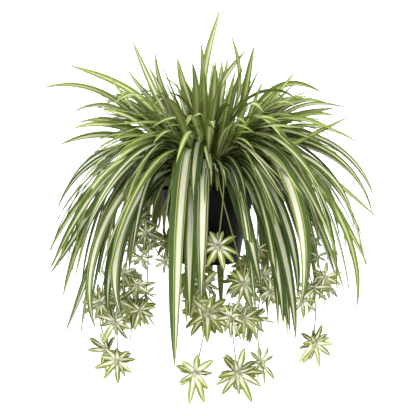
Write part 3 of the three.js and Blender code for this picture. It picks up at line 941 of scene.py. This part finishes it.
def leaf_material(name, colours, band_by_kind, soft, root_shade, base_cream, close_at):
    """A striped leaf: cream between thin bright lines, green to the margins, duller below.

    The colours are dark and light green, the green's streaks, the lines, the cream, and the green and cream
    below. band_by_kind widens the lines of yellow-green leaves, soft blurs the cream's edge, root_shade
    darkens the root with painted shade, base_cream widens the cream there, and close_at is where it begins to
    narrow.
    """
    dark, light, edge, line, cream, back, back_line = [linear(code) for code in colours]
    n = Nodes(name)
    u, v, under, half, stripe, shift, kind, tone = [n.value(value) for value in LEAF_VALUES]
    out_mm = n.times(v, half)

    # Grain along the leaf, and a slow drift of the stripe from side to side
    streak_at = n.combine(out_mm, n.times(u, 2.2), n.times(tone, 40))
    streak = n.noise(streak_at, 1.1, 3.0, 0.65)
    fine = n.noise(streak_at, 4.0, 2.0, 0.6)
    drift = n.noise(n.combine(0.0, n.times(u, 3.0), n.times(tone, 90)), 1.0, 2.0)
    wander = n.scaled(drift, 0.2, -0.1)
    off = n.plus(n.times(shift, n.step(u, 0.0, 0.4)), wander)
    wobble = n.scaled(fine, 0.08, -0.04)
    from_stripe = n.plus(n.apart(v, off), wobble)

    # The cream and the lines, by how far they lie from the stripe's middle in half widths
    closing = n.step(u, 1.0, close_at)
    edge_at = n.times(stripe, n.scaled(closing, 0.75, 0.25))
    edge_at = n.scaled(n.step(u, 0.6, 0.0), base_cream, edge_at)
    cream_mask = n.step(from_stripe, n.plus(edge_at, soft), n.minus(edge_at, soft))
    band_at = n.plus(edge_at, n.scaled(kind, band_by_kind, 0.06))
    line_mask = n.step(from_stripe, n.plus(band_at, 0.1), n.minus(band_at, 0.04))
    second = n.apart(from_stripe, SECOND_LINE)
    second_mask = n.times(n.step(second, 0.07, 0.02), n.step(tone, 0.45, 0.6))
    beside = n.apart(v, n.plus(off, n.times(edge_at, 0.3)))
    twin = n.times(n.step(beside, 0.07, 0.02), n.step(tone, 0.6, 0.45))

    # Colours, above and below
    green = n.mix(kind, dark, light)
    green = n.mix(n.times(n.step(streak, 0.46, 0.66), 0.6), green, edge)
    green = n.mix(n.times(n.step(fine, 0.5, 0.7), 0.35), green, light)
    green = n.mix(n.times(second_mask, 0.7), green, n.mix(0.45, line, cream))
    green = n.mix(n.times(line_mask, 0.8), green, line)
    cream_shade = n.mix(n.times(n.step(streak, 0.45, 0.7), 0.28), cream, line)
    front = n.mix(cream_mask, green, cream_shade)
    front = n.mix(n.times(n.times(twin, cream_mask), 0.75), front, green)
    dull = n.mix(n.times(kind, 0.6), back, light)
    dull = n.mix(n.times(cream_mask, 0.4), dull, back_line)
    below = n.mix(n.step(kind, 0.35, 0.75), dull, n.mix(0.25, front, back))
    colour = n.mix(under, front, below)

    # Each leaf's own depth of colour, with painted shade that darkens its root and sheath, where the leaves
    # crowd into the crown
    depth = n.scaled(tone, 0.36, 0.74)
    base = n.step(u, -0.2, 0.2)
    depth = n.times(depth, n.scaled(base, root_shade, 1 - root_shade))
    colour = n.mix(1.0, colour, n.combine(depth, depth, depth), "MULTIPLY")
    n.set(color=colour, rough=n.scaled(streak, 0.16, 0.46), specular=0.24)
    ribs = n.math("SINE", n.times(out_mm, RIBS))
    n.bump(n.plus(n.times(ribs, 0.35), fine), 0.5, 0.00025)
    return n.material


def stem_material(name, low, high):
    n = Nodes(name)
    at = n.place()
    grain = n.noise(at, 900, 3.0)
    n.set(color=n.mix(n.step(grain, 0.35, 0.65), linear(low), linear(high)), rough=0.55, specular=0.4)
    n.bump(grain, 0.4, 0.0003)
    return n.material


LEAF = leaf_material(
    "leaf", ["1e3413", "829a3a", "5c6f38", "a9b548", "d2d0c0", "484d1c", "8a8850"],
    band_by_kind=0.26, soft=0.035, root_shade=0.45, base_cream=0.0, close_at=0.7,
)
PLANTLET = leaf_material(
    "plantlet", ["4c520e", "8e9a3e", "646a20", "b6bb66", "e9e8d8", "5c6222", "9c9e5c"],
    band_by_kind=0.12, soft=0.09, root_shade=0.0, base_cream=0.6, close_at=0.3,
)
STEM = stem_material("stem", "2e3818", "56652c")
RUNNER = stem_material("runner", "5a6230", "7c8244")
BUD = stem_material("bud", "a2a848", "c5c87a")


# Plant

# Seeds. RUNNER_SEED is that of the solids too, and the others are for what only the looks draw.
MIDDLE_LOOK = 31
CROWN_LOOK = 41
THIN_LOOK = 900
RUNNER_SEED = 101
RUNNER_LOOK = 501


def finish_crown(build, name):
    build.finish("leaves_" + name, [LEAF, STEM], "leaf", "crown_" + name)


def middle_crown():
    """The middle crown's leaves go all round, so each has its own bearing in place of a side."""
    build, look = Build(LEAF_VALUES), draws(MIDDLE_LOOK)
    foot, head = np.zeros(3), UP * HEAD_HEIGHT
    add_core(build, foot, head)
    for leaf in CROWN_LEAVES["middle"]:
        add_leaf(build, foot, head, leaf[0], 0, [0] + leaf[1:], look)
    count, low, high = FILL["middle"]
    for i in range(count + HEART):
        if i < count:
            leaf, sway = fill_leaf(low, high, look)
            leaf = [0, look(30, 90)] + leaf[2:3] + [look(56, 84), look(40, 80)] + leaf[5:]
        else:
            leaf, sway = heart_leaf(look)
        add_leaf(build, foot, head, look(0, 360), 0, leaf, look, sway, FILL_GRID)
    finish_crown(build, "middle")


def outer_crown(index, name, roll, arches, spreads, uprights, seed):
    build, look = Build(LEAF_VALUES), draws(CROWN_LOOK + index)
    bearing = FIRST_BEARING + (360 / WEDGES) * index
    foot, head = polar(STEM_RING, bearing, 0), polar(HEAD_RING, bearing, HEAD_HEIGHT)
    add_core(build, foot, head)
    for leaf in CROWN_LEAVES.get(name, []) + ruled_leaves(arches, spreads, uprights, seed):
        add_leaf(build, foot, head, bearing, roll, leaf, look)
    count, low, high = FILL[name]
    for i in range(count + SKIRT):
        leaf, sway = fill_leaf(low, high, look) if i < count else skirt_leaf(look)
        own_roll = roll * look(0, 1) if i < count else 0
        add_leaf(build, foot, head, bearing, own_roll, leaf, look, sway, FILL_GRID)
    thin_look = draws(CROWN_LOOK + index + THIN_LOOK)
    for leaf in THIN_LEAVES.get(name, []):
        add_leaf(build, foot, head, bearing, roll, leaf, thin_look)
    finish_crown(build, name)


def runner_piece(number, runner):
    build = Build(LEAF_VALUES)
    draw, look = draws(RUNNER_SEED + number - 1), draws(RUNNER_LOOK + number - 1)
    add_tube(build, runner_points(*runner), RUNNER_RADIUS, RUNNER_SIDES)
    plantlets = runner[4]
    for row in plantlets:
        add_plantlet(build, row, draw, look)
    for carrier, at, row in SIDE_PLANTLETS:
        if carrier == number:
            add_side_stem(build, np.array(plantlets[at][:3], float), np.array(row[:3], float))
            add_plantlet(build, row, look, look)
    materials = [PLANTLET, BUD, RUNNER]
    build.finish("plantlets_%02d" % number, materials, "plantlet", "runner_%02d" % number)


middle_crown()
for index, row in enumerate(CROWNS):
    outer_crown(index, *row)
for number, runner in enumerate(RUNNERS, 1):
    runner_piece(number, runner)


# Pot and soil

def rounded(profile, radius):
    """The profile with every corner between its ends turned into a small arc."""
    points = [np.array(p, float) for p in profile]
    out = [points[0]]
    for before, corner, after in zip(points, points[1:], points[2:]):
        to_before, to_after = unit(before - corner), unit(after - corner)
        nearer = min(np.linalg.norm(before - corner), np.linalg.norm(after - corner))
        room = min(radius, nearer * ROUNDING_ROOM)
        start, end = corner + to_before * room, corner + to_after * room
        out.extend(arc(start, corner, end, ROUNDING_POINTS))
    out.append(points[-1])
    return out


def lathe_skin(profile, sides):
    """A closed skin turned about the axis. The first and last points lie on the axis."""
    rings = profile[1:-1]
    points = [np.array([0, 0, profile[0][1]])]
    for radius, height in rings:
        points.extend(polar(radius, 360 * k / sides, height) for k in range(sides))
    points.append(np.array([0, 0, profile[-1][1]]))
    faces = []
    last = len(points) - 1
    for k in range(sides):
        n = (k + 1) % sides
        faces.append((0, 1 + n, 1 + k))
        for i in range(len(rings) - 1):
            a, b = 1 + i * sides + k, 1 + i * sides + n
            faces.append((a, b, b + sides, a + sides))
        top = 1 + (len(rings) - 1) * sides
        faces.append((top + k, top + n, last))
    return points, faces


def pot_material():
    n = Nodes("pot")
    at = n.place()
    grain = n.noise(at, 1600, 2.0)
    cloud = n.noise(at, 40, 3.0)
    colour = n.mix(n.step(cloud, 0.3, 0.7), linear("030303"), linear("080807"))
    n.set(color=colour, rough=n.scaled(cloud, 0.2, 0.4), specular=0.07)
    n.bump(grain, 0.35, 0.0003)
    return n.material


def soil_material():
    n = Nodes("soil")
    at = n.place()
    crumb = n.noise(at, 420, 4.0, 0.65)
    patch = n.noise(at, 60, 2.0)
    colour = n.mix(n.step(crumb, 0.35, 0.7), linear("17110c"), linear("4a382a"))
    colour = n.mix(n.times(n.step(patch, 0.45, 0.7), 0.4), colour, linear("2a2018"))
    n.set(color=colour, rough=0.95, specular=0.2)
    n.bump(crumb, 0.8, 0.001)
    return n.material


def add_crumbs(build, top_radius):
    """Loose crumbs, half sunk in the soil."""
    draw = draws(CRUMB_SEED)
    for _ in range(CRUMBS):
        radius = top_radius * math.sqrt(draw(0, 1)) * CRUMBS_WITHIN
        centre = polar(radius, draw(0, 360), SOIL_TOP + draw(-0.6, 0.7))
        size = draw(0.7, 2.0)
        crumb = []
        for i in range(CRUMB_RINGS):
            tilt = math.pi * (i + 0.5) / (CRUMB_RINGS + 0.5) - math.pi / 2
            for k in range(CRUMB_SIDES):
                r = size * math.cos(tilt) * draw(0.75, 1.2)
                crumb.append(centre + polar(r, 360 * k / CRUMB_SIDES, size * CRUMB_FLATNESS * math.sin(tilt)))
        crumb.append(centre + UP * size * CRUMB_TOP)
        build.add(crumb, strip_faces(CRUMB_RINGS + 1, CRUMB_SIDES))


def soil_piece():
    """The soil fills the pot, with an uneven top under its crumbs."""
    build = Build([])
    inset = WALL + FIT_GAP
    collar_widens = RIM_RADIUS - LIP - COLLAR_FOOT_RADIUS
    collar_radius = COLLAR_FOOT_RADIUS + collar_widens * SOIL_TOP / (RIM_TOP - LIP_HEIGHT)
    top_radius = collar_radius - inset - FIT_GAP
    profile = [
        [0, BASE_BOTTOM + inset],
        [BASE_RADIUS - inset, BASE_BOTTOM + inset],
        [BODY_TOP_RADIUS - inset, inset],
        [COLLAR_FOOT_RADIUS - inset, inset],
        [top_radius, SOIL_TOP - SOIL_EDGE_DROP],
    ]
    profile += [[top_radius * share, SOIL_TOP] for share in np.linspace(0.985, 0.02, SOIL_RINGS)]
    profile.append([0, SOIL_TOP])
    points, faces = lathe_skin(profile, SOIL_SIDES)
    points = np.array(points)
    for p in points:
        if p[2] == SOIL_TOP:
            at = Vector(p) * SOIL_FINENESS
            p[2] += sum(high * noise.noise(at * fine) for fine, high in SOIL_BUMPS) - SOIL_SINK
    build.add(points, faces)
    add_crumbs(build, top_radius)
    build.finish("soil_crumb", [soil_material()], "soil", "soil")


def cut_drains(piece):
    """Drain holes through the pot's base, cut with round rods."""
    rods = Build([])
    for i in range(DRAIN_HOLES):
        centre = polar(DRAIN_RING, 360 / DRAIN_HOLES * (i + 0.5), 0)
        low, high = BASE_BOTTOM - 1, BASE_BOTTOM + 3
        ring = [centre + polar(DRAIN_RADIUS, 360 / DRAIN_SIDES * k, 0) for k in range(DRAIN_SIDES)]
        points = [p + UP * low for p in ring] + [p + UP * high for p in ring]
        faces = [tuple(reversed(range(DRAIN_SIDES))), tuple(range(DRAIN_SIDES, 2 * DRAIN_SIDES))]
        for k in range(DRAIN_SIDES):
            after = (k + 1) % DRAIN_SIDES
            faces.append((k, after, DRAIN_SIDES + after, DRAIN_SIDES + k))
        rods.add(points, faces)
    mesh = bpy.data.meshes.new("rods")
    mesh.from_pydata(np.concatenate(rods.points) * MM, [], rods.faces)
    cutter = linked("rods", mesh)
    change = piece.modifiers.new("drains", "BOOLEAN")
    change.operation = "DIFFERENCE"
    change.solver = "EXACT"
    change.object = cutter
    bpy.context.view_layer.update()
    ready = piece.evaluated_get(bpy.context.evaluated_depsgraph_get())
    cut = bpy.data.meshes.new_from_object(ready)
    piece.modifiers.clear()
    piece.data = cut
    bpy.data.objects.remove(cutter)


def pot_piece():
    profile = [
        [0, BASE_BOTTOM],
        [BASE_RADIUS - BASE_CHAMFER, BASE_BOTTOM],
        [BASE_RADIUS, BASE_BOTTOM + BASE_CHAMFER],
        [BODY_TOP_RADIUS, 0],
        [COLLAR_FOOT_RADIUS, 0],
        [RIM_RADIUS - LIP, RIM_TOP - LIP_HEIGHT],
        [RIM_RADIUS, RIM_TOP - LIP_EDGE],
        [RIM_RADIUS, RIM_TOP],
        [RIM_RADIUS - LIP - WALL, RIM_TOP],
        [COLLAR_FOOT_RADIUS - WALL, WALL],
        [BODY_TOP_RADIUS - WALL, WALL],
        [BASE_RADIUS - WALL, BASE_BOTTOM + WALL],
        [0, BASE_BOTTOM + WALL],
    ]
    build = Build([])
    build.add(*lathe_skin(rounded(profile, POT_ROUNDING), POT_SIDES))
    pot = build.finish("pot_shell", [pot_material()], "pot", "pot")
    cut_drains(pot)
    pot.data.shade_smooth()
    pot.data.set_sharp_from_angle(angle=math.radians(SHARP_FROM))


pot_piece()
soil_piece()


# Studio, in metres: a round floor that curves up into a pale wall, soft light and the photograph's camera

FLOOR = -0.46
STAGE_RADIUS = 8.0
STAGE_CURVE = 2.0
STAGE_HEIGHT = 9.0
STAGE_SIDES = 96
STAGE_CURVE_POINTS = 14
GLOW_FROM = 0.1
GLOW_FULL = 0.7

# Lamps: name, place, diameter and power. All point at the origin.
LAMPS = [
    ["key", (-0.1, -1.35, 2.25), 0.8, 38],
    ["fill", (1.6, -1.6, 0.7), 1.4, 5],
    ["top", (0.2, -0.2, 2.2), 1.0, 16],
]
WORLD_LIGHT = 0.03
CAMERA_PLACE = (0, -2.3, 0.212)
CAMERA_AIM = (0.0015, 0, 0)
CAMERA_LENS = 133.25


def studio():
    """A floor that curves up into a round wall, open at the top, pale all about, and glowing, most brightly
    behind.
    """
    n = Nodes("backdrop")
    parts = n.node("ShaderNodeSeparateXYZ", {"Vector": n.place()}).outputs
    x, y = parts["X"], parts["Y"]
    # The wall's glow is painted light: none under the plant, fainter in front and strongest behind.
    away = n.math("SQRT", n.plus(n.times(x, x), n.times(y, y)))
    behind = n.scaled(n.step(y, GLOW_FROM, GLOW_FULL), 0.55, 0.4)
    n.set(
        color=n.mix(n.noise(n.place(), 3.0), (0.9, 0.9, 0.9, 1), (0.93, 0.93, 0.93, 1)),
        rough=0.9, specular=0.1, emission=(1, 1, 1, 1),
        glow=n.times(n.step(away, GLOW_FROM, GLOW_FULL), behind),
    )
    level = STAGE_RADIUS - STAGE_CURVE
    profile = [[0, FLOOR], [level, FLOOR]]
    for turn in np.linspace(0.1, math.pi / 2, STAGE_CURVE_POINTS):
        rise = STAGE_CURVE * (1 - math.cos(turn))
        profile.append([level + STAGE_CURVE * math.sin(turn), FLOOR + rise])
    profile += [[STAGE_RADIUS, FLOOR + STAGE_HEIGHT], [0, FLOOR + STAGE_HEIGHT]]
    points, faces = lathe_skin(profile, STAGE_SIDES)
    top = len(points) - 1
    faces = [tuple(reversed(face)) for face in faces if top not in face]
    mesh = bpy.data.meshes.new("backdrop")
    mesh.from_pydata(points[:top], [], faces)
    mesh.materials.append(n.material)
    mesh.polygons.foreach_set("use_smooth", [True] * len(faces))
    floor = linked("backdrop", mesh)


def aim(place, target):
    """The rotation that points a lamp or a camera at its target."""
    return (Vector(target) - Vector(place)).to_track_quat("-Z", "Y").to_euler()


def lamp(name, place, size, power):
    data = bpy.data.lights.new(name, "AREA")
    data.shape = "DISK"
    data.size = size
    data.energy = power
    light = linked(name, data)
    light.location = place
    light.rotation_euler = aim(place, (0, 0, 0))


studio()
for row in LAMPS:
    lamp(*row)

world = bpy.data.worlds.new("studio")
bpy.context.scene.world = world
world.use_nodes = True
background = world.node_tree.nodes["Background"]
background.inputs["Color"].default_value = (1, 1, 1, 1)
background.inputs["Strength"].default_value = WORLD_LIGHT

camera_data = bpy.data.cameras.new("camera")
camera_data.lens = CAMERA_LENS
camera = linked("camera", camera_data)
camera.location = CAMERA_PLACE
camera.rotation_euler = aim(CAMERA_PLACE, CAMERA_AIM)
bpy.context.scene.camera = camera
bpy.context.scene.view_settings.view_transform = "Standard"
